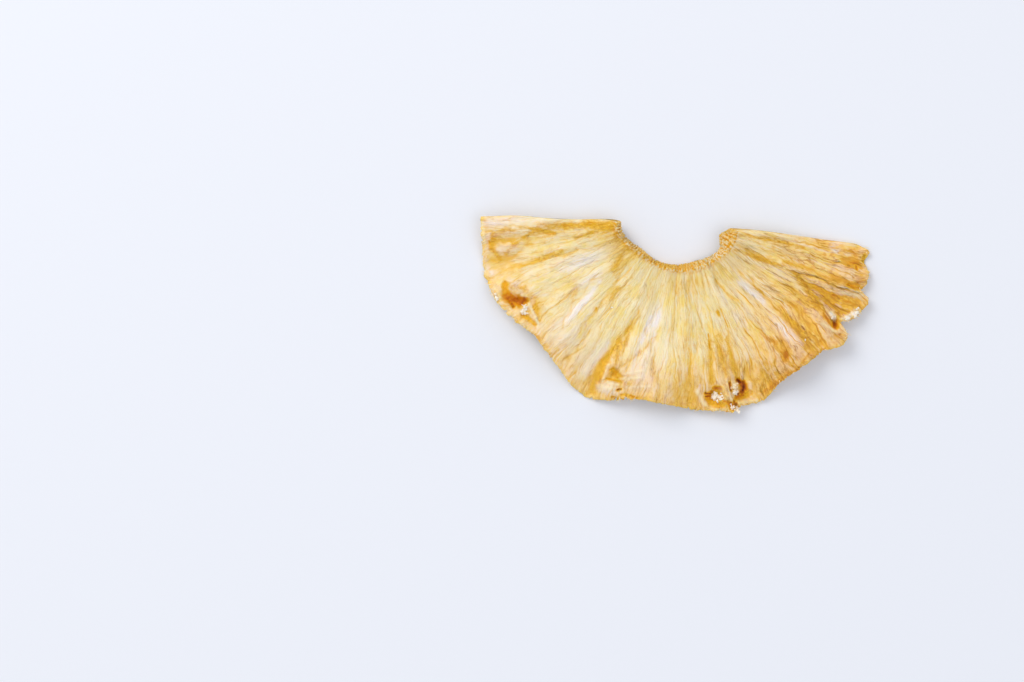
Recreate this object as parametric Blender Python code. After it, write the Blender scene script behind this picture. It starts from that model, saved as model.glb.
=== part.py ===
"""Half a slice of dried pineapple: a thin, pleated half ring whose core has been cut out.

It lies on the plane z = 0 with its straight cut towards +Y. Positions on the slice are given
as an angle in degrees, clockwise from +X as seen from above, and a radius from the core's axis.
Lengths are millimetres until the mesh is made, where MM turns them into metres.
"""

import bmesh
import bpy
import numpy as np

MM = 0.001

# Driving sizes
RIM_RADIUS = 46.0
CORE_RADIUS = 13.3
CORE_AXIS = (1.25, 23.35)
BODY_THICKNESS = 1.9
RIM_THICKNESS = 1.0
CORE_THICKNESS = 3.2
LEAST_THICKNESS = 0.75
RESTING_LEVEL = 2.5

# The mesh: columns run from the right cut to the left cut, rows from the core to the rim.
COLUMNS = 150
ROWS = 18

# The rim as cut with the peel: angle, and how far the edge stands out from RIM_RADIUS.
RIM_CORNERS = (
    (9.0, -2.4),
    (11.5, -1.2),
    (14.8, -2.0),
    (17.0, -0.2),
    (21.0, 0.0),
    (23.2, -0.7),
    (24.2, 1.6),
    (25.8, 2.1),
    (31.3, 0.9),
    (34.5, -1.6),
    (35.8, 1.6),
    (39.3, 2.1),
    (44.3, -0.5),
    (50.0, -1.0),
    (57.0, -1.1),
    (60.5, -0.6),
    (65.8, 1.4),
    (72.6, 0.7),
    (75.7, 1.6),
    (78.0, 0.6),
    (84.9, -0.4),
    (92.2, -1.6),
    (101.0, -2.2),
    (105.5, -1.6),
    (108.5, -0.5),
    (112.0, 0.5),
    (116.0, 1.7),
    (119.7, 1.5),
    (122.9, 1.0),
    (127.8, -0.5),
    (133.7, -1.4),
    (140.2, -2.1),
    (144.5, -1.0),
    (154.1, 1.2),
    (163.0, 1.5),
    (170.0, 0.5),
    (180.0, 0.2),
)

# Where the sheet swells up or dips: angle, radius, spread in degrees, spread in mm, height.
SWELLS = (
    (14.0, 40.0, 8.0, 9.0, -2.2),
    (9.0, 24.0, 7.0, 7.0, 0.8),
    (31.0, 13.5, 13.0, 4.5, 2.6),
    (37.0, 46.0, 5.0, 7.0, 1.6),
    (52.0, 46.0, 9.0, 12.0, 3.6),
    (67.0, 45.0, 6.0, 9.0, -2.3),
    (76.0, 43.0, 4.0, 6.0, 1.5),
    (86.0, 44.0, 5.0, 8.0, -0.9),
    (99.0, 46.0, 8.0, 12.0, 3.0),
    (112.5, 44.0, 2.6, 1.6, 0.9),
    (118.0, 45.0, 6.0, 9.0, -2.5),
    (137.0, 46.0, 9.0, 12.0, 2.8),
    (152.0, 43.0, 5.0, 6.0, 1.2),
    (165.0, 43.0, 6.0, 9.0, -2.4),
    (168.8, 40.8, 2.4, 3.0, 0.8),
    (177.0, 38.0, 6.0, 12.0, 1.8),
    (95.0, 16.0, 26.0, 6.0, -2.0),
    (168.0, 15.0, 12.0, 5.0, 1.4),
)

# Hollows left by the fruit's eyes, with the same columns as SWELLS.
EYE_POCKETS = (
    (16.0, 41.0, 1.6, 2.2, -0.8),
    (31.0, 40.5, 1.9, 3.4, -0.8),
    (35.8, 43.8, 1.5, 1.2, -1.2),
    (53.5, 40.0, 2.2, 3.5, -0.7),
    (71.3, 42.8, 1.8, 1.8, -1.6),
    (79.3, 43.6, 2.4, 2.0, -1.6),
    (112.0, 40.4, 1.8, 1.3, -1.2),
    (152.2, 43.0, 2.4, 2.3, -2.0),
    (171.0, 41.0, 2.2, 4.5, -0.9),
)

# Creases along the fibres: the angle at the inner end, halfway and at the outer end, the radius
# of both ends, depth, half width.
CREASES = (
    (18.8, 15.9, 17.6, 18.0, 35.0, 0.22, 1.0),
    (30.8, 28.9, 26.3, 14.5, 26.0, 0.31, 1.0),
    (22.8, 23.4, 24.0, 24.0, 38.0, 0.19, 1.0),
    (22.2, 22.4, 22.7, 39.5, 46.0, 0.25, 1.0),
    (29.2, 28.4, 27.3, 34.0, 46.0, 0.28, 1.0),
    (27.8, 33.6, 37.0, 30.0, 45.5, 0.31, 1.0),
    (39.5, 41.5, 45.0, 34.0, 45.0, 0.15, 0.8),
    (44.2, 44.9, 45.6, 20.0, 41.0, 0.22, 1.0),
    (61.8, 60.9, 57.8, 16.5, 24.0, 0.15, 0.8),
    (66.9, 69.3, 70.8, 24.6, 40.0, 0.25, 1.0),
    (76.3, 78.3, 80.5, 28.0, 40.5, 0.22, 1.0),
    (84.0, 85.1, 86.5, 18.0, 32.0, 0.12, 0.8),
    (82.5, 87.1, 91.0, 30.0, 44.0, 0.19, 1.0),
    (93.1, 94.0, 95.5, 16.5, 27.0, 0.12, 0.8),
    (103.2, 105.0, 106.3, 22.0, 28.5, 0.12, 0.8),
    (100.6, 106.8, 111.2, 29.0, 38.3, 0.22, 1.0),
    (113.6, 116.5, 117.3, 26.0, 45.0, 0.50, 1.4),
    (127.5, 127.4, 128.0, 24.0, 42.0, 0.15, 1.0),
    (133.0, 131.2, 132.0, 18.0, 42.0, 0.19, 1.0),
    (142.5, 139.6, 137.0, 26.0, 38.0, 0.19, 1.0),
    (159.0, 161.0, 162.5, 22.0, 40.0, 0.19, 1.0),
    (168.2, 165.6, 165.2, 36.5, 44.5, 0.25, 1.1),
    (168.5, 168.8, 167.5, 15.5, 27.0, 0.19, 1.0),
    (171.2, 173.1, 174.0, 17.0, 30.0, 0.28, 1.1),
    (171.5, 175.3, 174.8, 31.0, 43.5, 0.28, 1.1),
)
CREASE_FADE = 4.0

# Pleats everywhere else: width in degrees, length in mm, height, and the seed that places them.
BROAD_PLEATS = (7.0, 24.0, 0.50, 21)
NARROW_PLEATS = (3.4, 15.0, 0.22, 22)
BUCKLES = (14.0, 12.0, 0.45, 23)
SWAY = (22.0, 13.0, 1.6, 24)

FIELD_SIZE = 128


def ease(t):
    """0 to 1 with flat ends."""
    t = np.clip(t, 0.0, 1.0)
    return t * t * t * (10.0 - 15.0 * t + 6.0 * t * t)


def bell(distance):
    """1 at no distance, falling smoothly to 0 beyond about 2."""
    return np.exp(-distance * distance)


def field(x, y, seed):
    """A random field that wanders over about one unit of x and of y, within -1 and 1."""
    turn = np.random.default_rng(seed).uniform(0.0, 2.0 * np.pi, (FIELD_SIZE, FIELD_SIZE))
    left, low = np.floor(x).astype(int), np.floor(y).astype(int)
    part_x, part_y = x - left, y - low
    total = 0.0
    for right in (0, 1):
        for up in (0, 1):
            angle = turn[(left + right) % FIELD_SIZE, (low + up) % FIELD_SIZE]
            slope = np.cos(angle) * (part_x - right) + np.sin(angle) * (part_y - up)
            share_x = ease(part_x) if right else 1.0 - ease(part_x)
            share_y = ease(part_y) if up else 1.0 - ease(part_y)
            total = total + slope * share_x * share_y
    return 1.4 * total


def spots(table, angle, radius):
    """The sum of smooth hills and hollows listed as SWELLS is."""
    height = np.zeros_like(angle)
    for at_angle, at_radius, wide, long, rise in table:
        height += rise * bell((angle - at_angle) / wide) * bell((radius - at_radius) / long)
    return height


def swayed(angle, radius):
    """The angle at which a fibre passing through this point left the core."""
    wide, long, reach, seed = SWAY
    return angle + reach * field(angle / wide, radius / long, seed)


def pleats(angle, radius, kind):
    """Height of one kind of radial pleat. It fades towards the core, where pleats crowd."""
    wide, long, height, seed = kind
    wave = field(swayed(angle, radius) / wide, radius / long, seed)
    return height * (radius / RIM_RADIUS) ** 0.7 * wave


def along_crease(crease, radius):
    """The angle at which a crease lies, and how much of it is left, 0 to 1, at a radius."""
    angle_in, angle_mid, angle_out, radius_in, radius_out = crease[:5]
    share = np.clip((radius - radius_in) / (radius_out - radius_in), 0.0, 1.0)
    middle = angle_in * (1.0 - share) * (1.0 - 2.0 * share)
    middle = middle + angle_mid * 4.0 * share * (1.0 - share)
    middle = middle + angle_out * share * (2.0 * share - 1.0)
    ends = ease((radius - radius_in) / CREASE_FADE + 1.0)
    return middle, ends * ease((radius_out - radius) / CREASE_FADE + 1.0)


def creases(angle, radius):
    """Depth of the creases, each a valley along a gentle curve between its two ends."""
    depth = np.zeros_like(angle)
    for crease in CREASES:
        middle, ends = along_crease(crease, radius)
        deep, half_width = crease[5:]
        depth -= deep * bell(np.radians(angle - middle) * radius / half_width) * ends
    return depth


def rim_radius(angle):
    corners = np.array(RIM_CORNERS)
    return RIM_RADIUS + np.interp(angle, corners[:, 0], corners[:, 1])


def core_radius(angle):
    """Where the top face ends at the wall that the corer cut."""
    return CORE_RADIUS + 0.6 * bell((angle - 36.0) / 14.0) + 2.0 * ease((angle - 132.0) / 36.0)


def core_wall_run(angle):
    """How far the core wall slopes inwards from the top face to the underside."""
    return 1.1 + 2.4 * bell((angle - 30.0) / 10.0) + 0.6 * bell((angle - 76.0) / 20.0)


def cut_angles(out):
    """The right and left cut edges, as angles, at a share of the way out from core to rim."""
    right = 11.8 - 2.4 * out + 5.2 * np.exp(-out / 0.11)
    left = 175.7 + 3.2 * out + 1.1 * bell((out - 0.72) / 0.22) - 2.9 * np.exp(-out / 0.05)
    return right, left


def thickness(angle, out):
    """Thick at the core wall, thin at the rim, and drawn in along the two cut edges."""
    body = BODY_THICKNESS + (CORE_THICKNESS - BODY_THICKNESS) * (1.0 - out) ** 6
    body = body + (RIM_THICKNESS - BODY_THICKNESS) * ease((out - 0.8) / 0.2)
    right, left = cut_angles(out)
    from_cut = np.minimum(angle - right, left - angle)
    return body * (0.7 + 0.3 * ease(from_cut / 5.0))


def middle_height(angle, radius):
    """Height of the sheet's middle over the floor."""
    wide, long, rise, seed = BUCKLES
    height = RESTING_LEVEL + spots(SWELLS, angle, radius)
    height += rise * field(angle / wide, radius / long, seed)
    height += spots(EYE_POCKETS, angle, radius)
    height += pleats(angle, radius, BROAD_PLEATS) + pleats(angle, radius, NARROW_PLEATS)
    return height + creases(angle, radius)


def both_faces():
    """The top and the underside as grids of points, in mm, column by column."""
    across, out = np.meshgrid(
        np.linspace(0.0, 1.0, COLUMNS + 1), np.linspace(0.0, 1.0, ROWS + 1), indexing="ij"
    )
    right, left = cut_angles(out)
    angle = right + (left - right) * across
    inner, outer = core_radius(angle), rim_radius(angle)
    half = thickness(angle, out) / 2.0
    faces = []
    for side, start in ((1.0, inner), (-1.0, inner - core_wall_run(angle))):
        radius = start + (outer - start) * out
        height = middle_height(angle, inner + (outer - inner) * out) + side * half
        faces.append([radius, height])
    top, under = faces
    under[1] = np.maximum(under[1], 0.0)
    top[1] = np.maximum(top[1], under[1] + LEAST_THICKNESS)
    turned = np.radians(angle)
    return [
        np.stack(
            [
                CORE_AXIS[0] + radius * np.cos(turned),
                CORE_AXIS[1] - radius * np.sin(turned),
                height,
            ],
            axis=-1,
        )
        for radius, height in faces
    ]


def border(columns, rows):
    """Grid places round the sheet's edge, in order."""
    return (
        [(i, 0) for i in range(columns)]
        + [(columns, j) for j in range(rows)]
        + [(i, rows) for i in range(columns, 0, -1)]
        + [(0, j) for j in range(rows, 0, -1)]
    )


def sheet_mesh(name, top, under):
    """A closed mesh of two grids of points and the walls between their borders."""
    columns, rows = top.shape[0] - 1, top.shape[1] - 1
    bm = bmesh.new()
    grids = [[[bm.verts.new(p * MM) for p in line] for line in grid] for grid in (top, under)]
    for grid in grids:
        for i in range(columns):
            for j in range(rows):
                a, b = grid[i][j], grid[i + 1][j]
                c, d = grid[i + 1][j + 1], grid[i][j + 1]
                bm.faces.new((a, b, c))
                bm.faces.new((a, c, d))
    upper, lower = grids
    edge = border(columns, rows)
    for (i, j), (k, m) in zip(edge, edge[1:] + edge[:1]):
        bm.faces.new((upper[i][j], upper[k][m], lower[k][m]))
        bm.faces.new((upper[i][j], lower[k][m], lower[i][j]))
    bmesh.ops.recalc_face_normals(bm, faces=bm.faces)
    mesh = bpy.data.meshes.new(name)
    bm.to_mesh(mesh)
    bm.free()
    return mesh


def dried_flesh():
    material = bpy.data.materials.new("dried_flesh")
    material.use_nodes = True
    shader = material.node_tree.nodes["Principled BSDF"]
    shader.inputs["Base Color"].default_value = (0.83, 0.58, 0.27, 1.0)
    shader.inputs["Roughness"].default_value = 0.55
    shader.inputs["Metallic"].default_value = 0.0
    return material


def main():
    for old in list(bpy.data.objects):
        bpy.data.objects.remove(old)
    top, under = both_faces()
    mesh = sheet_mesh("pineapple_slice", top, under)
    mesh.materials.append(dried_flesh())
    mesh.shade_smooth()
    piece = bpy.data.objects.new("pineapple_slice", mesh)
    bpy.context.scene.collection.objects.link(piece)


main()
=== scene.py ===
"""The looks of half a slice of dried pineapple: its fine relief, colours, tufts and frayed fibres.

Positions on the slice are given as in its solid: an angle in degrees, clockwise from +X as seen
from above, and a radius from the core's axis. Lengths are millimetres until a mesh is made.
"""

import functools

import bmesh
import bpy
import numpy as np
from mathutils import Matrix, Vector


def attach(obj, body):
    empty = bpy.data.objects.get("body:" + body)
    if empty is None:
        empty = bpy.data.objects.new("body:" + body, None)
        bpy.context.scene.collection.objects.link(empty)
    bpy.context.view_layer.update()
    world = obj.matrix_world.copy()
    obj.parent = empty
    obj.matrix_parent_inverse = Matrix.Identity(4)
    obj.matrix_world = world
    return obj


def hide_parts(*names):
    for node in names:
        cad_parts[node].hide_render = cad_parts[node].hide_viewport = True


MM = 0.001
NODE = "pineapple_slice"
BODY = "root"

# The solid's driving sizes, which this surface keeps.
RIM_RADIUS = 46
CORE_RADIUS = 13.3
CORE_AXIS = (1.25, 23.35)
BODY_THICKNESS = 1.9
RIM_THICKNESS = 1
CORE_THICKNESS = 3.2
LEAST_THICKNESS = 0.75
RESTING_LEVEL = 2.5

# How many degrees the right cut's outer corner is worn away.
CORNER_CUT = 1.6
# Over how many mm the section rounds off beside a cut and at the rim.
CUT_ROUNDING = 0.7
RIM_ROUNDING = 1.1
# How the core's edge wavers: width in degrees, reach, and how far it is set back.
CORE_WAVER = (2.6, 0.55, 0.22)

# The surface: columns run from the right cut to the left cut, rows round the section.
COLUMNS = 540
WALL_ROWS = 24
TOP_ROWS = 116
RIM_ROWS = 5
UNDER_ROWS = 24
# The columns crowd together within this share of the width at either cut.
CUT_SHARE = 0.006
CUT_COLUMNS = 7

# The photograph's frame, and where the core's axis stands in it.
FRAME_PIXELS = (1024, 682)
AXIS_PIXEL = (680, 214)
PIXELS_PER_MM = 4.3
LENS = 85
SENSOR = 36

# The rim's course: angle, and how far out of RIM_RADIUS it lies.
RIM_CORNERS = (
    (9, -2.4), (11.5, -1.2), (14.8, -2), (17, -0.2), (21, 0), (23.2, -0.7),
    (24.2, 1.6), (25.8, 2.1), (31.3, 0.9), (34.5, -1.6), (35.8, 1.6), (39.3, 2.1),
    (44.3, -0.5), (50, -1), (57, -1.1), (60.5, -0.6), (65.8, 1.4), (72.6, 0.7),
    (75.7, 1.6), (78, 0.6), (84.9, -0.4), (92.2, -1.6), (101, -2.2), (105.5, -1.6),
    (108.5, -0.5), (112, 0.5), (116, 1.7), (119.7, 1.5), (122.9, 1), (127.8, -0.5),
    (133.7, -1.4), (140.2, -2.1), (144.5, -1), (154.1, 1.2), (163, 1.5), (170, 0.5),
    (180, 0.2),
)

# Where the sheet swells up or dips: angle, radius, spread in degrees, spread in mm, height.
SWELLS = (
    (14, 40, 8, 9, -2.2), (9, 24, 7, 7, 0.8), (31, 13.5, 13, 4.5, 2.6), (37, 46, 5, 7, 1.6),
    (52, 46, 9, 12, 3.6), (67, 45, 6, 9, -2.3), (76, 43, 4, 6, 1.5), (86, 44, 5, 8, -0.9),
    (99, 46, 8, 12, 3), (112.5, 44, 2.6, 1.6, 0.9), (118, 45, 6, 9, -2.5), (137, 46, 9, 12, 2.8),
    (152, 43, 5, 6, 1.2), (165, 43, 6, 9, -2.4), (168.8, 40.8, 2.4, 3, 0.8), (177, 38, 6, 12, 1.8),
    (95, 16, 26, 6, -2), (168, 15, 12, 5, 1.4),
)

# Hollows left by the fruit's eyes, with the same columns as SWELLS.
EYE_POCKETS = (
    (16, 41, 1.6, 2.2, -0.8), (31, 40.5, 1.9, 3.4, -0.8), (35.8, 43.8, 1.5, 1.2, -1.2),
    (53.5, 40, 2.2, 3.5, -0.7), (71.3, 42.8, 1.8, 1.8, -1.6), (79.3, 43.6, 2.4, 2, -1.6),
    (112, 40.4, 1.8, 1.3, -1.2), (152.2, 43, 2.4, 2.3, -2), (171, 41, 2.2, 4.5, -0.9),
)

# Creases along the fibres: the angle at the inner end, halfway and at the outer end, the radius
# of both ends, depth, half width.
CREASES = (
    (18.8, 15.9, 17.6, 18, 35, 0.22, 1), (30.8, 28.9, 26.3, 14.5, 26, 0.31, 1),
    (22.8, 23.4, 24, 24, 38, 0.19, 1), (22.2, 22.4, 22.7, 39.5, 46, 0.25, 1),
    (29.2, 28.4, 27.3, 34, 46, 0.28, 1), (27.8, 33.6, 37, 30, 45.5, 0.31, 1),
    (39.5, 41.5, 45, 34, 45, 0.15, 0.8), (44.2, 44.9, 45.6, 20, 41, 0.22, 1),
    (61.8, 60.9, 57.8, 16.5, 24, 0.15, 0.8), (66.9, 69.3, 70.8, 24.6, 40, 0.25, 1),
    (76.3, 78.3, 80.5, 28, 40.5, 0.22, 1), (84, 85.1, 86.5, 18, 32, 0.12, 0.8),
    (82.5, 87.1, 91, 30, 44, 0.19, 1), (93.1, 94, 95.5, 16.5, 27, 0.12, 0.8),
    (103.2, 105, 106.3, 22, 28.5, 0.12, 0.8), (100.6, 106.8, 111.2, 29, 38.3, 0.22, 1),
    (113.6, 116.5, 117.3, 26, 45, 0.5, 1.4), (127.5, 127.4, 128, 24, 42, 0.15, 1),
    (133, 131.2, 132, 18, 42, 0.19, 1), (142.5, 139.6, 137, 26, 38, 0.19, 1),
    (159, 161, 162.5, 22, 40, 0.19, 1), (168.2, 165.6, 165.2, 36.5, 44.5, 0.25, 1.1),
    (168.5, 168.8, 167.5, 15.5, 27, 0.19, 1), (171.2, 173.1, 174, 17, 30, 0.28, 1.1),
    (171.5, 175.3, 174.8, 31, 43.5, 0.28, 1.1),
)
# Over how many mm a crease fades beyond its ends.
CREASE_FADE = 4
# The thin line along the bottom of a crease: half width and depth.
CREASE_LINE = 0.22
CREASE_LINE_DEPTH = 0.22
# How a line wanders, in degrees, and over how many mm it wanders and breaks.
LINE_WANDER = (2, 3)
LINE_BREAKS = 2.4

# Pleats everywhere else: width in degrees, length in mm, height, and the seed that places them.
# SWAY, WANDER and WIGGLE bend the fibres instead, and have a reach in degrees for a height.
BROAD_PLEATS = (7, 24, 0.5, 21)
NARROW_PLEATS = (3.4, 15, 0.22, 22)
BUCKLES = (14, 12, 0.45, 23)
SWAY = (22, 13, 1.6, 24)

# Finer relief than the solid carries, in the same terms as the pleats.
WANDER = (6, 7, 1.3, 34)
WIGGLE = (2.6, 1.7, 0.34, 37)
GATHERS = (2.6, 16, 0.17, 41)
WRINKLES = (1.3, 8, 0.1, 42)
FIBRES = (0.7, 5, 0.05, 32)
CRUMPLE = (2, 1.6, 0.14, 33)
# How far a fold's valley reaches on its gentle side and on its steep side, as shares of its width.
GENTLE_SIDE = 0.26
STEEP_SIDE = 0.09
# How far out from the core the flesh stays smooth.
SMOOTH_REACH = 14
# How far the folds lean over their valleys, as a share of their height.
LEAN = (18, 16, 1.3, 35)
# The step in fold widths over which a fold's rise is measured.
RISE_STEP = 0.12

# Hollows too small for the solid, as strokes: angle and radius of both ends, half width in mm,
# depth, and how dark they are inside, 0 to 1: the pockets' browner flesh and painted shade.
PITS = (
    # The deep pocket near the left end of the rim, and the groove beside it
    (154.4, 44.5, 151.4, 42.6, 1.2, 1.1, 0.56), (151.4, 42.6, 150.8, 41.4, 0.85, 1.1, 0.6),
    (151.6, 41.2, 150.3, 42.4, 0.4, 1.1, 0.7), (153.8, 44.7, 151, 44.2, 0.45, 1.2, 0.62),
    (158, 43.8, 155.4, 44.8, 0.75, 0.8, 0.36), (147.4, 43.4, 142.8, 42.4, 0.5, 0.6, 0.2),
    # The double pocket: the left bowl
    (80.6, 43.2, 77.8, 43, 1.2, 0.9, 0.36), (79, 41.2, 77.2, 41.6, 0.5, 0.6, 0.62),
    (80.4, 41.9, 79.4, 41.7, 0.3, 0.5, 0.6), (82.5, 42, 80.6, 42.3, 0.22, 0.4, 0.8),
    (82.3, 42.8, 80.8, 42.8, 0.2, 0.4, 0.9), (81, 44.9, 77.6, 45.3, 0.85, 0.7, 0.22),
    (79, 44.4, 78.4, 46, 0.22, 0.2, 0.55), (77.2, 44.5, 76.2, 44.9, 0.3, 0.5, 0.6),
    (76.2, 45, 75.6, 46.6, 0.45, 0.5, 0.5), (75.3, 45.4, 75.2, 47, 0.3, 0.6, 0.8),
    (78.6, 47, 76.6, 47.1, 0.2, 0.3, 0.6),
    # The double pocket: the right bowl
    (71.2, 40.8, 69.9, 42, 0.38, 1.1, 0.95), (69.9, 42, 69.8, 43, 0.62, 1.1, 1),
    (69.8, 43, 71, 43.7, 0.55, 1.1, 0.9), (73, 43.9, 72.2, 43.9, 0.28, 0.8, 1),
    (73.2, 44.6, 70.8, 44.5, 0.5, 0.7, 0.52), (72.6, 44.9, 68.8, 44.7, 0.6, 0.7, 0.28),
    (74.2, 40.8, 74.3, 42.4, 0.32, 0.6, 0.75), (73.9, 45.9, 73.7, 47.2, 0.38, 1, 1.1),
    (74.2, 45, 74.4, 46, 0.25, 0.6, 0.7),
    # The tucked notch, and the holes in the flap below it
    (113.4, 39.5, 110.6, 40.4, 0.6, 0.7, 0.22), (114.2, 41.9, 109.9, 41.3, 0.24, 0.4, 0.4),
    (109.8, 43.4, 109.6, 43.3, 0.2, 0.6, 1.1), (109.1, 43, 108.9, 43, 0.17, 0.6, 1),
    (108, 44.3, 106.8, 43.8, 0.45, 0.4, 0.3), (110.5, 45.4, 106.5, 45.1, 0.25, 0.5, 0.6),
    (105.6, 43.8, 103.4, 43.9, 0.25, 0.4, 0.55),
    # The torn right end
    (36.4, 44.2, 35, 43.4, 0.6, 0.8, 0.75), (23.2, 42.2, 22.8, 45.4, 0.32, 0.5, 0.6),
    (12.8, 43.9, 14.6, 43.9, 0.4, 0.5, 0.4), (16.6, 42.6, 17.4, 42.8, 0.3, 0.3, 0.7),
    # Small marks
    (171.9, 44.9, 170.8, 44.7, 0.16, 0.1, 0.45), (131.9, 29.3, 131.6, 29.5, 0.18, 0.05, 0.4),
    (69.9, 24.3, 69.3, 25.3, 0.35, 0.1, 0.28), (67.5, 24, 67.6, 28.5, 0.12, 0.15, 0.25),
    (77.2, 28.5, 78, 32, 0.14, 0.15, 0.35),
)
# How thick the flesh stays under a pit deeper than PIT_DEEP.
PIT_FLOOR = 0.4
PIT_DEEP = 0.4

# Lips, tongues and strands raised over the sheet, as strokes: angle and radius of both ends, half
# width in mm, height, and how pale they are on top, 0 to 1: partly paler torn flesh, partly painted
# highlight.
LIPS = (
    (156.4, 42.4, 154, 42, 0.8, 0.5, 0), (155, 43.3, 153.2, 42.6, 0.25, 0.5, 0.4),
    (152.8, 41.6, 151.6, 40.6, 0.28, 0.4, 0.5), (158.5, 46.5, 150, 45.7, 0.7, 0.45, 0.25),
    (150, 45.7, 141, 44, 0.65, 0.45, 0.35), (149.2, 40.9, 142.5, 41.7, 0.35, 0.35, 0.6),
    (84.7, 41.4, 83.6, 43.6, 0.6, 0.3, 0.5), (83.6, 43.6, 82.2, 45.1, 0.55, 0.35, 0.6),
    (82.2, 45.1, 79.6, 46.3, 0.5, 0.4, 0.6), (79.6, 46.3, 77.2, 46.4, 0.35, 0.35, 0.45),
    (74.8, 40, 75, 42.6, 0.22, 0.55, 0.45), (75, 42.6, 74.9, 44.8, 0.24, 0.6, 0.5),
    (76.6, 41.8, 76.4, 43.8, 0.9, 0.5, 0.3), (72.5, 41.6, 72.5, 42.9, 0.85, 0.8, 0.45),
    (72.8, 46, 67.8, 46.8, 0.55, 0.45, 0.5), (68.8, 45.2, 67.8, 42.6, 0.45, 0.3, 0.25),
    (115, 44.4, 111.8, 43.6, 1.1, 0.5, 0.45), (115.6, 39, 114.9, 43, 0.45, 0.35, 0.35),
    (113.4, 42.6, 110.4, 42.3, 0.4, 0.4, 0.5), (110, 40.7, 103.6, 39, 0.4, 0.25, 0.4),
    (109.4, 39.3, 103, 37.2, 0.35, 0.2, 0.35), (107.4, 42.2, 100.6, 40.6, 0.4, 0.2, 0.3),
    (120.6, 32, 121.4, 44, 1, 0.3, 0.45), (38.3, 41, 37.2, 45.6, 0.35, 0.5, 0.4),
    (33.2, 44.8, 29, 46.9, 0.6, 0.3, 1), (33.8, 41.6, 34.6, 43, 0.5, 0.35, 0.95),
    (170.2, 45.9, 176.5, 45.9, 0.55, 0.25, 0.5), (167.5, 40.2, 170.5, 41.8, 1.3, 0.2, 0),
    (24.6, 46, 26.4, 41, 0.45, 0.25, 0.45),
)
# Over how many mm the borders of strokes waver, and how much, as a share of the distance.
BORDER_GRAIN = 0.7
BORDER_REACH = 0.35

# How far round a point its surroundings are averaged, in columns and rows, and the height in mm
# above or below them that counts as a full ridge or hollow.
AROUND = (7, 6)
FULL_HOLLOW = 0.3

# Patches of colour: angle, radius, spread in degrees, spread in mm, strength.
PALE_PATCHES = (
    (103, 26, 3, 6, 1.2), (107.5, 30, 1.5, 6, 0.8), (96.5, 32, 1.5, 6, 0.7),
    (137.5, 33, 1.8, 6, 1.3), (144, 26, 3, 5, 0.9), (154, 25, 5, 8, 1.1), (104, 38, 6, 5, 0.9),
    (121, 38, 2.4, 8, 1), (132, 38, 5, 8, 0.7), (47.5, 23, 3, 6, 0.9), (48, 37, 2, 5, 0.8),
    (34, 23, 4, 4, 0.35), (31, 27, 3, 3, 0.6), (12, 37, 2, 1.5, 0.9), (61, 27, 4, 6, 0.6),
    (71.5, 27, 1.5, 2, 0.7), (64, 22, 4, 3, 0.35), (170, 25, 2, 3, 0.6), (177, 42, 2, 5, 0.6),
    (163, 46, 4, 1.5, 0.4), (170, 46.2, 8, 1.1, 0.5), (31, 46.5, 1.6, 1.4, 1),
    (113, 44.5, 3.5, 1.6, 0.9), (50, 35.8, 3, 3, 0.6),
)
GOLD_PATCHES = (
    (172, 20, 6, 8, 0.55), (160, 17.5, 16, 3.5, 0.65), (172, 36, 3, 8, 0.35), (170, 42, 4, 3, 0.35),
    (113.5, 33, 1.4, 8, 0.9), (116, 42, 1.8, 6, 1), (109, 40.5, 4, 2, 0.8), (74, 35, 4.5, 8, 0.75),
    (69.5, 24.6, 1, 1, 1), (30, 39, 4, 7, 1), (29.5, 19, 2, 4, 0.8), (12, 34, 3, 5, 0.4),
    (18, 24, 5, 6, 0.5), (20, 41, 8, 7, 0.25), (38, 35, 5, 8, 0.5), (45, 36, 1.5, 4, 0.7),
    (55, 38, 6, 7, 0.5), (78, 43.5, 5, 3, 0.9), (52, 44, 14, 6, 0.4), (92, 45, 20, 5, 0.65),
    (30, 30, 16, 12, 0.2), (62, 43, 6, 3, 0.7), (87, 30, 3, 12, 0.4), (140, 19, 8, 3, 0.6),
    (129, 25, 3, 5, 0.5), (148, 41, 5, 4, 0.9), (144, 31, 3, 4, 0.5), (162, 33, 2, 6, 0.5),
    (134, 45, 10, 2, 0.5), (28, 45, 26, 6, 0.5), (150, 14.8, 20, 2, 0.7), (86, 17, 26, 3, 0.55),
    (170, 32, 4, 5, 0.4), (163, 43.5, 8, 2.5, 0.35), (100, 38, 9, 4, 0.35), (85, 38, 6, 4, 0.4),
)
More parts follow.
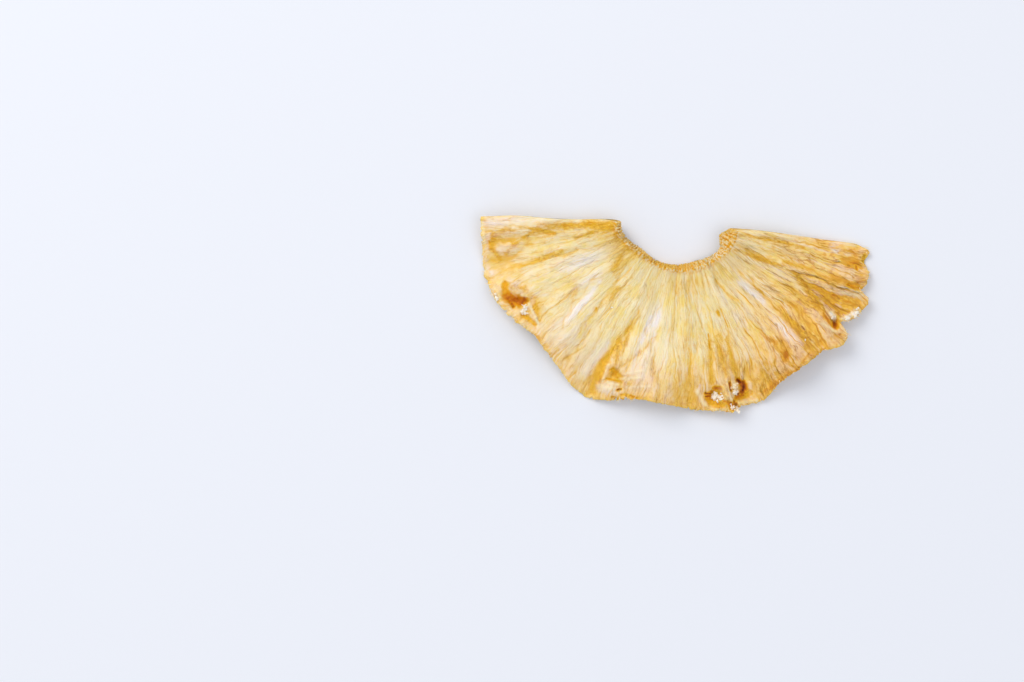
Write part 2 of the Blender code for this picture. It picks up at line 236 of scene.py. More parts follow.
# Narrower marks of the same colours, as strokes: angle and radius of both ends, half width in mm,
# strength.
GOLD_STROKES = (
    (174.2, 38.6, 174.8, 40.8, 0.45, 0.9), (174.8, 40.8, 173.2, 43.7, 0.55, 1.3),
    (173.2, 43.7, 169.6, 44.7, 0.55, 1.3), (169.6, 44.7, 165.8, 43, 0.5, 0.9),
    (167, 41.5, 169.4, 39.5, 0.35, 0.9), (169.4, 39.5, 171.3, 36.7, 0.32, 0.9),
    (171.3, 36.7, 172.8, 34.5, 0.32, 0.8), (175.1, 37.4, 173.7, 33.4, 0.4, 0.9),
    (173.7, 33.4, 171, 29.6, 0.4, 0.8), (175.8, 34, 173.8, 27, 0.6, 0.68),
    (173.8, 27, 173.2, 21, 0.7, 0.9), (173.4, 21, 167, 15.6, 1, 0.9),
    (168, 21, 166.5, 25, 0.5, 0.68), (162.6, 29, 161.5, 39.5, 0.45, 0.68),
    (160.6, 25.4, 159.4, 29, 0.5, 0.68), (165, 15.6, 150, 14.2, 0.8, 0.98),
    (150, 14.2, 128, 13.4, 0.7, 0.9), (145, 17.2, 139.4, 20.6, 0.6, 0.45),
    (144.2, 29.8, 141.4, 32, 0.7, 0.45), (135, 20, 131, 30, 0.45, 0.52),
    (131, 30, 129.6, 35, 0.45, 0.6), (129.8, 22.6, 129, 25.4, 0.8, 0.3),
    (124.6, 21, 122, 24.4, 0.7, 0.45), (131, 40.8, 128.2, 42.8, 0.8, 0.6),
    (114.8, 29, 116.6, 33, 0.55, 0.75), (115.8, 33, 117.6, 39, 0.9, 0.8),
    (117.6, 39, 116.6, 44.6, 1.1, 1), (104.2, 31.4, 106.6, 34, 0.6, 0.6),
    (106.6, 34, 112, 38.4, 1.1, 0.5), (101.2, 34.4, 99.6, 38.6, 0.8, 0.6),
    (153.8, 39.8, 157, 43, 0.9, 0.83), (150.4, 39.6, 143, 41.4, 0.8, 0.75),
    (77.6, 30.5, 79.6, 40.4, 0.6, 0.7), (72.8, 30, 75, 40.6, 1, 0.45),
    (69.6, 30.5, 71.6, 40.4, 0.45, 0.8), (81.5, 45.2, 77.5, 45.6, 0.7, 0.75),
    (72.6, 44.4, 69, 44.4, 0.7, 0.98), (34.5, 15, 30.6, 20.5, 0.4, 0.98),
    (30.6, 20.5, 28, 26, 0.45, 0.98), (24.9, 26, 24, 31, 0.4, 0.83),
    (20.4, 14.4, 16.6, 21, 0.4, 0.68), (16.6, 21, 15.4, 29.6, 0.35, 0.68),
    (28.8, 30, 27.8, 36, 0.7, 0.9), (30, 36, 31.8, 43.8, 1.1, 1.05), (46.3, 20, 44, 26, 0.35, 0.68),
    (62.6, 17.4, 60.8, 20.4, 0.35, 0.68), (60.8, 20.4, 57.5, 24, 0.35, 0.68),
    (43, 34, 45.4, 41, 1, 0.75), (12.5, 43.4, 14.6, 44.2, 0.5, 0.98),
)
PALE_STROKES = (
    (177.2, 36, 177.6, 45.4, 0.9, 0.5), (175.2, 44.2, 169.6, 45.6, 0.6, 0.5),
    (167.6, 47, 161.8, 46, 0.6, 0.5), (158.4, 42.6, 156.4, 41.2, 0.8, 0.6),
    (139.6, 24.6, 137.4, 32.8, 0.55, 0.9), (106.2, 25, 107, 31, 0.45, 0.9),
    (102.4, 24.6, 103.6, 26.6, 0.7, 0.75), (118.8, 34.4, 121.2, 43, 0.8, 0.68),
    (148.6, 36.6, 151.4, 38.6, 0.8, 0.68), (50.4, 21, 47, 28, 0.6, 0.5),
    (83.6, 40, 85, 41.4, 0.35, 0.9), (13, 35.6, 13.6, 37.4, 0.45, 0.83),
    (18.4, 34, 18.8, 40, 0.35, 0.52),
)
BROWN_STROKES = (
    (50.6, 36, 53.6, 40.6, 0.7, 0.6), (53.6, 40.6, 55.4, 41.6, 0.9, 0.8),
    (56.4, 34.4, 53.6, 37, 0.7, 0.7), (59.4, 45.2, 65, 45.6, 0.35, 0.9),
    (17.6, 40.4, 15, 42.8, 0.9, 0.6), (14, 37.8, 14.4, 38.6, 0.4, 0.6),
    (28.8, 34, 28.2, 40, 0.25, 0.9), (28.2, 40, 27.6, 45.6, 0.25, 0.9),
    (34.6, 36.4, 36, 42, 0.3, 0.7), (41.6, 41, 43, 44.4, 0.25, 0.6),
    (140.8, 44.4, 138.6, 43.6, 0.6, 0.6), (47.7, 43.6, 53.3, 44.7, 0.3, 0.8),
    (53.3, 44.7, 59.3, 44.7, 0.35, 0.9), (59.3, 44.7, 64.2, 46.3, 0.35, 0.9),
    (46.4, 35, 48.6, 38, 0.4, 0.6), (59, 38.6, 60.5, 41.6, 0.7, 0.5),
    (33.4, 38, 36.6, 42.4, 0.3, 0.8), (100.5, 43.4, 106.5, 44.6, 0.6, 0.55),
    (106.5, 44.6, 111, 45.6, 0.6, 0.55), (147, 45.2, 153, 46.2, 0.5, 0.6),
    (36.6, 42.4, 37.4, 46, 0.3, 0.8),
)
BROWN_PATCHES = (
    (53.5, 39.5, 2.4, 3.4, 0.5), (57, 44, 6, 1.2, 0.5), (106, 44, 2, 0.8, 0.6),
    (12, 41, 1.8, 2.5, 0.6), (16, 42, 1.2, 2, 0.5), (35, 42.5, 1.5, 1.6, 0.6),
    (19.5, 44.5, 4, 1.5, 0.5), (38, 46.5, 2, 1.5, 0.5), (140.5, 44, 1.5, 0.8, 0.5),
    (61, 45, 3, 0.8, 0.7), (45, 45, 8, 1.6, 0.55),
)

# Dried remains of the flowers, most of them in the eye pockets: angle, radius, half size round the
# slice and half size outwards in mm, and how white they are, 0 to 1.
TUFTS = (
    (79.6, 43.3, 0.9, 0.9, 1), (78.2, 43.4, 0.9, 0.85, 0.95), (78.8, 42.5, 0.7, 0.5, 0.9),
    (72.6, 41.9, 0.8, 0.8, 0.35), (73.2, 43.2, 0.6, 0.6, 0.9), (75, 46.4, 0.35, 0.9, 0.8),
    (73.9, 47.2, 0.4, 0.8, 0.8), (149, 42.2, 0.75, 0.6, 1), (147.7, 43.1, 0.75, 0.6, 0.95),
    (155.6, 46.9, 1, 0.3, 0.8), (29.6, 46.7, 1.1, 0.45, 0.9), (32.3, 45.5, 0.9, 0.5, 1),
    (34.3, 42.4, 0.4, 0.5, 0.9), (126.3, 27, 0.18, 0.18, 1), (45.9, 40.7, 0.18, 0.18, 1),
)
# Crumbs to a square mm, the range of their radius, and their lumps: how many in one radius, and how
# high, as a share of it.
CRUMBS_PER_AREA = 13
CRUMB_RADIUS = (0.14, 0.32)
LUMPS = 1.3
LUMP_HEIGHT = 0.35

# The bead-like ends of fibres on the core wall: their width in mm, and how many stand up the wall.
BEAD_WIDTH = 0.6
BEAD_ROWS = 6
# How far a bead stands out of the wall and upwards, and how deep the flesh lies between beads.
BEAD_OUT = 0.42
BEAD_UP = 0.25
BEAD_GAP = 0.1
# How far out from the core edge the beads reach over the top face, and how high they are there.
FRINGE_WIDTH = 0.5
FRINGE_RISE = 0.34
# How clearly the beads show on the top face, 0 to 1.
FRINGE_BEADED = 0.75
# The thin line round the beads: how far out from them it runs, and its half width.
SEAM_AWAY = 0.75
SEAM_WIDTH = 0.22
# How far inside the rim its deeper colour starts.
RIM_BAND = 2.4

# Loose fibres on the torn edge: angle, spread in degrees, how many.
FRAYS = (
    (12, 3, 8), (18, 4, 5), (23, 1.5, 5), (31, 3, 16), (36.5, 2, 10), (43, 4, 4), (56, 6, 5),
    (66, 4, 6), (75.5, 2.5, 16), (84, 6, 5), (96, 8, 8), (108, 5, 16), (122, 6, 6), (134, 6, 8),
    (146, 5, 14), (156.5, 3, 16), (166, 5, 8),
)
# The range of their length and of their radius at the root, how far inside the rim and below the
# top face they start, and how low they may hang.
FRAY_LENGTH = (0.7, 1.7)
FRAY_RADIUS = (0.05, 0.11)
FRAY_ROOT = 0.65
FRAY_SINK = 0.2
FRAY_LOWEST = 0.15
# How many pieces and sides a loose fibre has.
FRAY_STEPS = 6
FRAY_SIDES = 5

# The steps after which a random field repeats, and what scales it to about -1 and 1.
FIELD_SIZE = 128
FIELD_GAIN = 1.4


def ease(t):
    """0 to 1 with flat ends."""
    t = np.clip(t, 0, 1)
    return t * t * t * (10 - 15 * t + 6 * t * t)


def bell(distance):
    """1 at no distance, falling smoothly to 0 beyond about 2."""
    return np.exp(-distance * distance)


@functools.lru_cache(maxsize=None)
def turns(seed):
    """The random directions that a field is made from."""
    return np.random.default_rng(seed).uniform(0, 2 * np.pi, (FIELD_SIZE, FIELD_SIZE))


def field(x, y, seed):
    """A random field that wanders over about one unit of x and of y, from about -1 to 1."""
    turn = turns(seed)
    left, low = np.floor(x).astype(int), np.floor(y).astype(int)
    part_x, part_y = x - left, y - low
    total = 0
    for right in (0, 1):
        for up in (0, 1):
            angle = turn[(left + right) % FIELD_SIZE, (low + up) % FIELD_SIZE]
            slope = np.cos(angle) * (part_x - right) + np.sin(angle) * (part_y - up)
            share_x = ease(part_x) if right else 1 - ease(part_x)
            share_y = ease(part_y) if up else 1 - ease(part_y)
            total = total + slope * share_x * share_y
    return FIELD_GAIN * total


def spots(table, angle, radius):
    """The sum of smooth hills and hollows listed as SWELLS is."""
    height = np.zeros_like(angle)
    for at_angle, at_radius, wide, long, rise in table:
        height += rise * bell((angle - at_angle) / wide) * bell((radius - at_radius) / long)
    return height


def swayed(angle, radius):
    """The angle at which a fibre passing through this point left the core."""
    wide, long, reach, seed = SWAY
    return angle + reach * field(angle / wide, radius / long, seed)


def pleats(angle, radius, kind):
    """Height of one kind of radial pleat. It fades towards the core, where pleats crowd."""
    wide, long, height, seed = kind
    wave = field(swayed(angle, radius) / wide, radius / long, seed)
    return height * (radius / RIM_RADIUS) ** 0.7 * wave


def wandering(angle, radius):
    """Like swayed, with the shorter wander and the crinkling of a single fold."""
    bent = swayed(angle, radius)
    for wide, long, reach, seed in (WANDER, WIGGLE):
        bent = bent + reach * field(bent / wide, radius / long, seed)
    return bent


def fold_wave(angle, radius, kind):
    """A field with folds where it rises through zero, and how deep a fold is there, 0 to 1."""
    wide, long, _, seed = kind
    across, along = wandering(angle, radius) / wide, radius / long
    wave = field(across, along, seed)
    rise = field(across + RISE_STEP, along, seed) - field(across - RISE_STEP, along, seed)
    strength = ease(0.55 + 1.4 * field(across / 2.3, along * 1.6, seed + 10))
    return wave, strength * ease(0.15 + 5 * rise)


def roughness(angle, radius):
    """How strong the fine relief and its lines are: calm at the core, strongest at the right."""
    calm = 0.35 + 0.65 * ease((radius - CORE_RADIUS) / SMOOTH_REACH)
    calm = calm + 0.45 * ease((radius - 35) / 7)
    calm = calm + 0.6 * bell((angle - 88) / 11) * ease((radius - 30) / 6)
    return calm * (0.74 + 1.15 * ease((98 - angle) / 60))


def folds(angle, radius, kind):
    """Height of folds: rounded ridges, and valleys steep on one side and gentle on the other."""
    wave, strength = fold_wave(angle, radius, kind)
    valley = np.exp(-np.where(wave > 0, wave / GENTLE_SIDE, -wave / STEEP_SIDE))
    height = kind[2] * roughness(angle, radius)
    return height * strength * (0.25 - valley + 0.6 * np.abs(wave))


def strokes(table, angle, radius):
    """For each stroke, its own numbers and the distance from it in half widths, a little uneven."""
    here = radius * np.exp(1j * np.radians(angle))
    uneven = 1 + BORDER_REACH * field(here.real / BORDER_GRAIN, here.imag / BORDER_GRAIN, 81)
    for stroke in table:
        start, end = (r * np.exp(1j * np.radians(a)) for a, r in (stroke[:2], stroke[2:4]))
        run = end - start
        along = np.clip(((here - start) * np.conj(run)).real / abs(run) ** 2, 0, 1)
        yield stroke[5:], np.abs(here - start - along * run) / stroke[4] * uneven


def pits(angle, radius):
    """Depth of the pits, and how dark they are inside: their browner flesh and painted shade."""
    depth, dark = np.zeros_like(angle), np.zeros_like(angle)
    for (deep, darkness), away in strokes(PITS, angle, radius):
        depth = np.maximum(depth, deep * ease((1.5 - away) / 1.1))
        dark = np.maximum(dark, darkness * bell(away / 1.25))
    return depth, dark


def lips(angle, radius):
    """Height of the lips and strands, and how pale they are on top: partly paler flesh, partly
    painted highlight.
    """
    height, pale = np.zeros_like(angle), np.zeros_like(angle)
    for (rise, paleness), away in strokes(LIPS, angle, radius):
        height = np.maximum(height, rise * bell(away))
        pale = np.maximum(pale, paleness * bell(away))
    return height, pale


def tinted(patches, table, angle, radius):
    """How strong one colour is: its patches and its strokes."""
    share = spots(patches, angle, radius)
    for (strength,), away in strokes(table, angle, radius):
        share += strength * bell(away)
    return share


def crease_lines(angle, radius):
    """Up to 1 along the bottom of each crease, wandering and broken, and 0 beside it."""
    mark, flat = np.zeros_like(angle), np.zeros_like(angle)
    reach, long = LINE_WANDER
    for k, crease in enumerate(CREASES):
        middle, ends = along_crease(crease, radius)
        middle = middle + reach * field(radius / long + k * 7.3, flat, 36)
        broken = ease(0.6 + 1.3 * field(radius / LINE_BREAKS + k * 3.1, flat, 38))
        aside = np.radians(angle - middle) * radius / CREASE_LINE
        mark += min(1, 0.3 + crease[5]) * bell(aside) * ends * broken
    return mark


def along_crease(crease, radius):
    """The angle at which a crease lies, and how much of it is left, 0 to 1, at a radius."""
    angle_in, angle_mid, angle_out, radius_in, radius_out = crease[:5]
    share = np.clip((radius - radius_in) / (radius_out - radius_in), 0, 1)
    middle = angle_in * (1 - share) * (1 - 2 * share)
    middle = middle + angle_mid * 4 * share * (1 - share)
    middle = middle + angle_out * share * (2 * share - 1)
    ends = ease((radius - radius_in) / CREASE_FADE + 1)
    return middle, ends * ease((radius_out - radius) / CREASE_FADE + 1)


def creases(angle, radius):
    """Depth of the creases, each a valley along a gentle curve between its two ends."""
    depth = np.zeros_like(angle)
    for crease in CREASES:
        middle, ends = along_crease(crease, radius)
        deep, half_width = crease[5:]
        depth -= deep * bell(np.radians(angle - middle) * radius / half_width) * ends
    return depth


def rim_radius(angle):
    """Where the rim lies, without its torn fibre ends."""
    return RIM_RADIUS + np.interp(angle, *np.transpose(RIM_CORNERS))


def ragged(angle):
    """How far torn fibre ends stand out of the rim or leave it short."""
    flat = np.zeros_like(angle)
    tears = np.maximum(field(angle / 0.9, flat, 53) - 0.25, 0)
    ends = 0.30 * field(angle / 1.6, flat, 51) + 0.18 * field(angle / 0.4, flat, 52) - 1.6 * tears
    return ends * (0.35 + 0.9 * ease(0.45 + 1.2 * field(angle / 8, flat, 54)))


def core_radius(angle):
    """Where the top face ends at the wall that the corer cut."""
    return CORE_RADIUS + 0.6 * bell((angle - 36) / 14) + 2 * ease((angle - 132) / 36)


def core_wall_run(angle):
    """How far the core wall slopes inwards from the top face to the underside."""
    return 1.1 + 2.4 * bell((angle - 30) / 10) + 0.6 * bell((angle - 76) / 20)


def cut_angles(out):
    """The right and left cut edges, as angles, at a share of the way out from core to rim."""
    right = 11.8 - 2.4 * out + 5.2 * np.exp(-out / 0.11) + CORNER_CUT * ease((out - 0.88) / 0.16)
    left = 175.7 + 3.2 * out + 1.1 * bell((out - 0.72) / 0.22) - 2.9 * np.exp(-out / 0.05)
    return right, left


def thickness(angle, out):
    """Thick at the core wall, thin at the rim, and drawn in along the two cut edges."""
    body = BODY_THICKNESS + (CORE_THICKNESS - BODY_THICKNESS) * (1 - out) ** 6
    body = body + (RIM_THICKNESS - BODY_THICKNESS) * ease((out - 0.8) / 0.2)
    right, left = cut_angles(out)
    from_cut = np.minimum(angle - right, left - angle)
    return body * (0.7 + 0.3 * ease(from_cut / 5))


def rounding(angle, out):
    """How full the section is beside a cut edge or the rim, from little on the edge to 1 inside."""
    right, left = cut_angles(out)
    from_cut = np.radians(np.minimum(angle - right, left - angle)) * RIM_RADIUS * (0.3 + 0.7 * out)
    inside = np.clip(from_cut / CUT_ROUNDING, 0, 1)
    from_rim = np.clip((1 - out) * (RIM_RADIUS - CORE_RADIUS) / RIM_ROUNDING, 0, 1)
    cut = 0.08 + 0.92 * np.sqrt(1 - (1 - inside) ** 2)
    return cut * (0.45 + 0.55 * np.sqrt(1 - (1 - from_rim) ** 2))


def middle_height(angle, radius):
    """Height of the sheet's middle over the floor."""
    wide, long, rise, seed = BUCKLES
    height = RESTING_LEVEL + spots(SWELLS, angle, radius)
    height += rise * field(angle / wide, radius / long, seed)
    height += spots(EYE_POCKETS, angle, radius)
    height += pleats(angle, radius, BROAD_PLEATS) + pleats(angle, radius, NARROW_PLEATS)
    return height + creases(angle, radius)


def fine_height(angle, radius):
    """Relief too fine for the solid, on the top face."""
    height = folds(angle, radius, GATHERS) + folds(angle, radius, WRINKLES)
    height += pleats(angle, radius, FIBRES)
    crumpled = 0.25 + 0.75 * ease((radius - 36) / 6)
    height += crumpled * pleats(angle, radius, CRUMPLE)
    bead, near = fringe(angle, radius)
    height -= CREASE_LINE_DEPTH * crease_lines(angle, radius)
    return height + near * (FRINGE_RISE * bead - BEAD_GAP)


def leaning(angle, radius):
    """How far the folds lean towards the left cut, as a share of their height."""
    wide, long, reach, seed = LEAN
    return reach * (0.35 + field(angle / wide, radius / long, seed))


def face_points(across, out, side):
    """Angle, radius and height of points on the top (side 1) or the underside (side -1)."""
    right, left = cut_angles(out)
    angle = right + (left - right) * across
    inner, outer = core_radius(angle), rim_radius(angle) + ragged(angle)
    wide, reach, back = CORE_WAVER
    inner = inner - back + reach * np.abs(field(angle / wide, np.zeros_like(angle), 57))
    start = inner if side > 0 else inner - core_wall_run(angle)
    top_radius = inner + (outer - inner) * out
    full = rounding(angle, out)
    half = thickness(angle, out) * full / 2
    middle = middle_height(angle, top_radius)
    fine = fine_height(angle, top_radius) * full
    depth = pits(angle, top_radius)[0]
    lip = lips(angle, top_radius)[0] * full
    radius = start + (outer - start) * out
    under = np.maximum(middle - half + 0.5 * fine + 0.6 * (lip - depth), 0)
    if side < 0:
        return angle, radius, under
    least = LEAST_THICKNESS + (PIT_FLOOR - LEAST_THICKNESS) * ease(depth / PIT_DEEP)
    height = np.maximum(middle + half + fine + lip - depth, under + least * full)
    shift = leaning(angle, top_radius) * fine * full / np.maximum(top_radius, CORE_RADIUS)
    return angle + np.degrees(shift), radius, height


def fringe(angle, radius):
    """The beads where the top face turns over into the core wall, and how near that edge is."""
    away = radius - core_radius(angle)
    return knobs(angle, 1 + away / CORE_THICKNESS), bell(np.maximum(away, 0) / FRINGE_WIDTH)


def knobs(angle, share):
    """The bead-like fibre ends that crowd the core wall: 0 between them, 1 on top of each."""
    x, y = np.radians(angle) * CORE_RADIUS / BEAD_WIDTH, np.clip(share, 0, 4) * BEAD_ROWS
    y = y + np.zeros_like(angle)
    left, low = np.floor(x).astype(int), np.floor(y).astype(int)
    place = np.random.default_rng(61).uniform(0.1, 0.9, (2, FIELD_SIZE, FIELD_SIZE))
    nearest = np.full_like(angle, 9)
    for i in (left - 1, left, left + 1):
        for j in (low - 1, low, low + 1):
            away = np.hypot(i + place[0, i, j] - x, j + place[1, i, j] - y)
            nearest = np.minimum(nearest, away)
    return 1 - np.clip(nearest / 0.7, 0, 1) ** 2


def wall_points(across, share):
    """The core wall, from the underside (share 0) to the top face (share 1), lined with knobs."""
    angle, low_radius, low = face_points(across, 0, -1)
    _, high_radius, high = face_points(across, 0, 1)
    swell = np.sin(np.pi * share) ** 0.6
    bump = knobs(angle, share)
    radius = low_radius + (high_radius - low_radius) * share + swell * (BEAD_GAP - BEAD_OUT * bump)
    return angle, radius, low + (high - low) * share + swell * BEAD_UP * bump


def rim_points(across, share):
    """The rim's thin edge, from the top face (share 0) to the underside (share 1)."""
    angle, radius, high = face_points(across, 1, 1)
    low = face_points(across, 1, -1)[2]
    swell = np.sin(np.pi * share)
    turned = (1 - np.cos(np.pi * share)) / 2
    ends = 0.25 * field(angle / 0.6, np.full_like(angle, share * 2.5), 63)
    return angle, radius + swell * (0.25 * (high - low) + ends), high + (low - high) * turned


def column_shares():
    """Where the columns stand between the two cuts, denser beside each."""
    edge = CUT_SHARE * np.linspace(0, 1, CUT_COLUMNS) ** 2
    middle = np.linspace(CUT_SHARE, 1 - CUT_SHARE, COLUMNS)
    return np.concatenate([edge[:-1], middle, 1 - edge[-2::-1]])


def slice_surface():
    """Angle, radius, height, how much core wall and how knobby every surface point is."""
    across = column_shares()
    columns = []
    for maker, shares in (
        (wall_points, np.linspace(0, 1, WALL_ROWS + 1)[:-1]),
        (functools.partial(face_points, side=1), np.linspace(0, 1, TOP_ROWS + 1)),
        (rim_points, np.linspace(0, 1, RIM_ROWS + 1)[1:-1]),
        (functools.partial(face_points, side=-1), np.linspace(1, 0, UNDER_ROWS + 1)[:-1]),
    ):
        wall = np.full_like(across, maker is wall_points)
        for share in shares:
            made = maker(across, share)
            columns.append(np.stack([*made, wall, wall * knobs(made[0], share)], axis=-1))
    return np.stack(columns, axis=1)


def hollows(height):
    """-1 on ridges to 1 in hollows, for a grid of heights."""
    mean = height
    for axis, reach in enumerate(AROUND):
        padding = [(0, 0), (0, 0)]
        padding[axis] = (reach, reach)
        padded = np.pad(mean, padding, mode="edge")
        mean = np.lib.stride_tricks.sliding_window_view(padded, 2 * reach + 1, axis).mean(-1)
    return np.clip((mean - height) / FULL_HOLLOW, -1, 1)


def to_frame(angle, radius, height):
    """Points in the frame, in metres."""
    turned = np.radians(angle)
    x = CORE_AXIS[0] + radius * np.cos(turned)
    y = CORE_AXIS[1] - radius * np.sin(turned)
    return np.stack([x, y, height], axis=-1) * MM


def top_height(angle, radius):
    """Height of the top face at some places, without its finest relief."""
    inner, outer = core_radius(angle), rim_radius(angle)
    out = np.clip((radius - inner) / (outer - inner), 0, 1)
    height = middle_height(angle, radius) + thickness(angle, out) / 2
    return height + lips(angle, radius)[0] - pits(angle, radius)[0]


def store(mesh, name, values, kind="FLOAT", key="value"):
    """An attribute on the mesh's points: floats, or vectors."""
    data = mesh.attributes.new(name, kind, "POINT").data
    data.foreach_set(key, values.astype(np.float32).ravel())


def add_object(name, data):
    """A new object in the scene."""
    made = bpy.data.objects.new(name, data)
    bpy.context.scene.collection.objects.link(made)
    return made


def add_mesh(name, points, faces, material):
    """A new mesh of one material in the scene."""
    mesh = bpy.data.meshes.new(name)
    mesh.from_pydata(points, [], faces)
    mesh.update()
    mesh.materials.append(material)
    return add_object(name, mesh)


def tube_faces(rings, sides):
    """Quads between rings of points, and a face at either end."""
    number = np.arange(rings * sides).reshape(rings, sides)
    here, ahead = number[:-1], number[1:]
    quads = np.stack([here, np.roll(here, -1, 1), np.roll(ahead, -1, 1), ahead], axis=-1)
    return quads.reshape(-1, 4).tolist() + [number[0][::-1].tolist(), number[-1].tolist()]


def surface_looks(angle, radius, height, wall, bead):
    """What the material needs to know at every surface point, by name."""
    looks = {}
    for name, kind in (("gather", GATHERS), ("wrinkle", WRINKLES)):
        looks[name], looks[name + "_depth"] = fold_wave(angle, radius, kind)
    hollow = np.zeros_like(height)
    top = slice(WALL_ROWS, WALL_ROWS + TOP_ROWS + 1)
    hollow[:, top] = hollows(height[:, top])
    outwards = ease((radius - 18) / 24)
    rim_middle = bell((angle - 80) / 42) * ease((radius - 32) / 6)
    on_face, near = fringe(angle, radius)
    near[:, TOP_ROWS + WALL_ROWS + 1:] = 0
    near[:, :WALL_ROWS] = 0
    # How pale the bead tops on the core wall are: the pale fibre ends, partly painted highlight,
    # and more towards the left cut past about 118 degrees, painted light on a wall in shade.
    beaded = 0.15 + 0.85 * bell((angle - 50) / 22) + 0.3 * ease((angle - 118) / 30)
    seamed = (0.2 + 0.8 * bell((angle - 70) / 24)) * ease(0.6 + field(angle / 2, radius, 58))
    return looks | {
        "hollow": hollow,
        "pale": tinted(PALE_PATCHES, PALE_STROKES, angle, radius),
        "gold": tinted(GOLD_PATCHES, GOLD_STROKES, angle, radius),
        "brown": tinted(BROWN_PATCHES, BROWN_STROKES, angle, radius),
        "tan": ease((84 - angle) / 50) * (0.3 + 0.7 * outwards) + 0.1 * outwards,
        # Duller and darker towards the rim, most round the middle of its run.
        "outer_dull": 0.1 * ease((radius - 36) / 7) + 0.12 * rim_middle,
        "rough": roughness(angle, radius),
        "crease": crease_lines(angle, radius),
        "dark": pits(angle, radius)[1],
        "lip": lips(angle, radius)[1],
        "rim": ease((radius - rim_radius(angle) + RIM_BAND) / RIM_BAND),
        "wall": np.maximum(wall, ease(near * 1.6 - 0.3)),
        "bead": np.where(wall > 0.5, bead, on_face),
        "beaded": np.where(wall > 0.5, beaded, FRINGE_BEADED),
        "seam": bell((radius - core_radius(angle) - SEAM_AWAY) / SEAM_WIDTH) * seamed,
    }


def make_slice(material):
    """The flesh: one closed mesh, with what its material needs to know at each point."""
    angle, radius, height, wall, bead = np.moveaxis(slice_surface(), -1, 0)
    points = to_frame(angle, radius, height).reshape(-1, 3)
    piece = add_mesh("slice_flesh", points.tolist(), tube_faces(*angle.shape), material)
    mesh = piece.data
    mesh.shade_smooth()
    fibre = np.stack([wandering(angle, radius), radius, height], axis=-1)
    store(mesh, "fibre", fibre, "FLOAT_VECTOR", "vector")
    for name, values in surface_looks(angle, radius, height, wall, bead).items():
        store(mesh, name, values)
    return piece


def linear(red, green, blue):
    """A colour as a screen shows it, from 0 to 255, as the shader needs it."""
    shares = [value / 255 for value in (red, green, blue)]
    return [s / 12.92 if s <= 0.04045 else ((s + 0.055) / 1.055) ** 2.4 for s in shares] + [1]


class Nodes:
    """Short ways to add nodes to a material."""

    def __init__(self, name):
        self.material = bpy.data.materials.new(name)
        self.material.use_nodes = True
        self.tree = self.material.node_tree
        self.shader = self.tree.nodes["Principled BSDF"]

    def add(self, kind, **settings):
        node = self.tree.nodes.new(kind)
        for key, value in settings.items():
            setattr(node, key, value)
        return node

    def give(self, socket, value):
        """Links a socket to another node's output, or sets its value."""
        if isinstance(value, bpy.types.NodeSocket):
            self.tree.links.new(value, socket)
        else:
            socket.default_value = value

    def math(self, operation, first, second=0):
        node = self.add("ShaderNodeMath", operation=operation)
        self.give(node.inputs[0], first)
        self.give(node.inputs[1], second)
        return node.outputs[0]

    def times(self, first, second):
        return self.math("MULTIPLY", first, second)

    def attribute(self, name, output="Fac"):
        return self.add("ShaderNodeAttribute", attribute_name=name).outputs[output]

    def noise(self, vector, scale, detail, roughness):
        """Noise that wanders over about one unit of the scaled vector, from 0 to 1."""
        scaled = self.add("ShaderNodeVectorMath", operation="MULTIPLY")
        self.give(scaled.inputs[0], vector)
        self.give(scaled.inputs[1], scale)
        node = self.add("ShaderNodeTexNoise")
        self.give(node.inputs["Vector"], scaled.outputs[0])
        node.inputs["Scale"].default_value = 1
        node.inputs["Detail"].default_value = detail
        node.inputs["Roughness"].default_value = roughness
        return node.outputs["Fac"]

    def between(self, value, low, high, to_low=0, to_high=1):
        node = self.add("ShaderNodeMapRange", interpolation_type="SMOOTHSTEP")
        for socket, given in zip(node.inputs, (value, low, high, to_low, to_high)):
            self.give(socket, given)
        return node.outputs[0]

    def line(self, value, width):
        """1 where a noise crosses its middle, 0 beyond a small distance from it."""
        away = self.math("ABSOLUTE", self.math("SUBTRACT", value, 0.5))
        return self.between(away, 0, width, 1, 0)

    def mix(self, share, first, second):
        node = self.add("ShaderNodeMix", data_type="RGBA")
        self.give(node.inputs[0], share)
        self.give(node.inputs[6], first)
        self.give(node.inputs[7], second)
        return node.outputs[2]

    def layers(self, colour, rows):
        """Lays colours over one another: value, start, end, strongest share, colour."""
        for value, low, high, most, laid in rows:
            colour = self.mix(self.between(value, low, high, 0, most), colour, laid)
        return colour

    def bumps(self, rows):
        """The normal of small relief: heights, and how many metres each stands for."""
        normal = None
        for height, distance in rows:
            node = self.add("ShaderNodeBump")
            node.inputs["Strength"].default_value = 1
            node.inputs["Distance"].default_value = distance
            self.give(node.inputs["Height"], height)
            if normal is not None:
                self.give(node.inputs["Normal"], normal)
            normal = node.outputs["Normal"]
        return normal

    def finish(self, inputs):
        """Sets or links the shader's inputs, and gives the material."""
        for name, value in inputs.items():
            self.give(self.shader.inputs[name], value)
        return self.material


CREAM = linear(253, 233, 190)
YELLOW = linear(250, 218, 114)
TAN = linear(253, 203, 116)
STRAW = linear(248, 200, 78)
GOLD = linear(247, 195, 32)
AMBER = linear(234, 165, 22)
PALE = linear(252, 240, 240)
BROWN = linear(196, 106, 14)
DARK = linear(92, 38, 6)
LINE = linear(234, 182, 46)
DULL_TAN = linear(198, 154, 84)
RUST = linear(216, 140, 42)
CORE_WALL = linear(243, 187, 62)
CORE_BEAD = linear(255, 238, 202)
CRUMB_WHITE = linear(255, 250, 240)
CRUMB_SHADE = linear(244, 228, 204)
FLOOR = linear(232, 235, 243)


